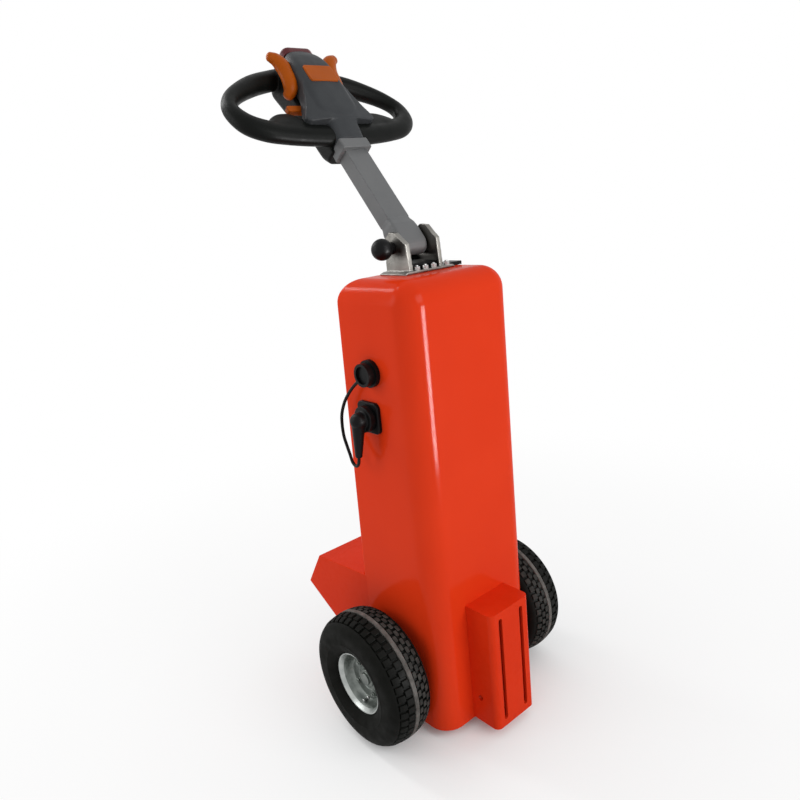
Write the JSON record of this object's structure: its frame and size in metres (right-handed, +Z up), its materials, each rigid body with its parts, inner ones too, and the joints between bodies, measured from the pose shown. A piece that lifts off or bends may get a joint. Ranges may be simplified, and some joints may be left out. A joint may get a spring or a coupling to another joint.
{
  "type": "electric pusher tug",
  "caption": "Pedestrian electric tug: tall body cover over a driven axle, sloped tail with swivel castor, slotted hitch box and tilting tiller with a loop handle.",
  "frame": {"origin": "on the floor under the middle of the whole outline", "axes": "+X forward towards the pushed load, +Y left, +Z up"},
  "size_m": [0.5141, 0.481, 1.3068],
  "materials": {
    "red_paint": "glossy",
    "red_cover": "glossy",
    "black_plastic": "matt",
    "grey_plastic": "satin",
    "orange_plastic": "satin",
    "maroon_plastic": "satin",
    "tyre_rubber": "matt",
    "zinc": "plated",
    "bracket_steel": "worn",
    "grey_paint": "satin",
    "gear_casting": "cast",
    "battery_case": "matt",
    "motor_case": "satin",
    "castor_rubber": "matt"
  },
  "bodies": {
    "frame": {"chassis_plate": "red_paint", "body_cover": "red_cover", "tail_box": "red_paint", "battery_pack": "battery_case", "axle_housing": "gear_casting", "drive_motor": "motor_case", "axle_saddles": "grey_paint", "hitch_box": "red_paint", "castor_seat": "red_paint", "castor_plate": "zinc", "tiller_bracket": "bracket_steel", "tiller_pin": "zinc", "lock_knob": "black_plastic", "battery_gauge": "black_plastic", "cord_gland": "black_plastic", "charge_socket": "black_plastic", "charge_plug": "black_plastic", "charge_cord": "castor_rubber"},
    "wheel_left": {"tyre_left": "tyre_rubber", "rim_left": "zinc", "hub_left": "zinc"},
    "wheel_right": {"tyre_right": "tyre_rubber", "rim_right": "zinc", "hub_right": "zinc"},
    "castor": {"castor_fork": "zinc", "castor_axle": "zinc"},
    "castor_wheel": {"castor_hub": "black_plastic", "castor_tyre": "castor_rubber"},
    "tiller": {"arm_foot": "grey_paint", "tiller_arm": "grey_paint", "arm_collar": "grey_paint", "head_base": "black_plastic", "head_cover": "grey_plastic", "loop_handle": "black_plastic", "thumb_levers": "orange_plastic", "rocker_panel": "orange_plastic", "side_pads": "orange_plastic", "belly_button": "maroon_plastic"}
  },
  "joints": [
    {"name": "wheel_left_spin", "type": "hinge", "parent": "frame", "child": "wheel_left", "pos_m": [0.0683, 0.1925, 0.132], "axis": [0, 1, 0], "continuous": true},
    {"name": "wheel_right_spin", "type": "hinge", "parent": "frame", "child": "wheel_right", "pos_m": [0.0683, -0.1925, 0.132], "axis": [0, 1, 0], "continuous": true},
    {"name": "castor_swivel", "type": "hinge", "parent": "frame", "child": "castor", "pos_m": [-0.1317, 0, 0.09], "axis": [0, 0, 1], "continuous": true},
    {"name": "castor_spin", "type": "hinge", "parent": "castor", "child": "castor_wheel", "pos_m": [-0.1617, 0, 0.038], "axis": [0, 1, 0], "continuous": true},
    {"name": "tiller_tilt", "type": "hinge", "parent": "frame", "child": "tiller", "pos_m": [0.0733, 0, 0.93], "axis": [0, 1, 0], "range_deg": [-36, 39]}
  ]
}
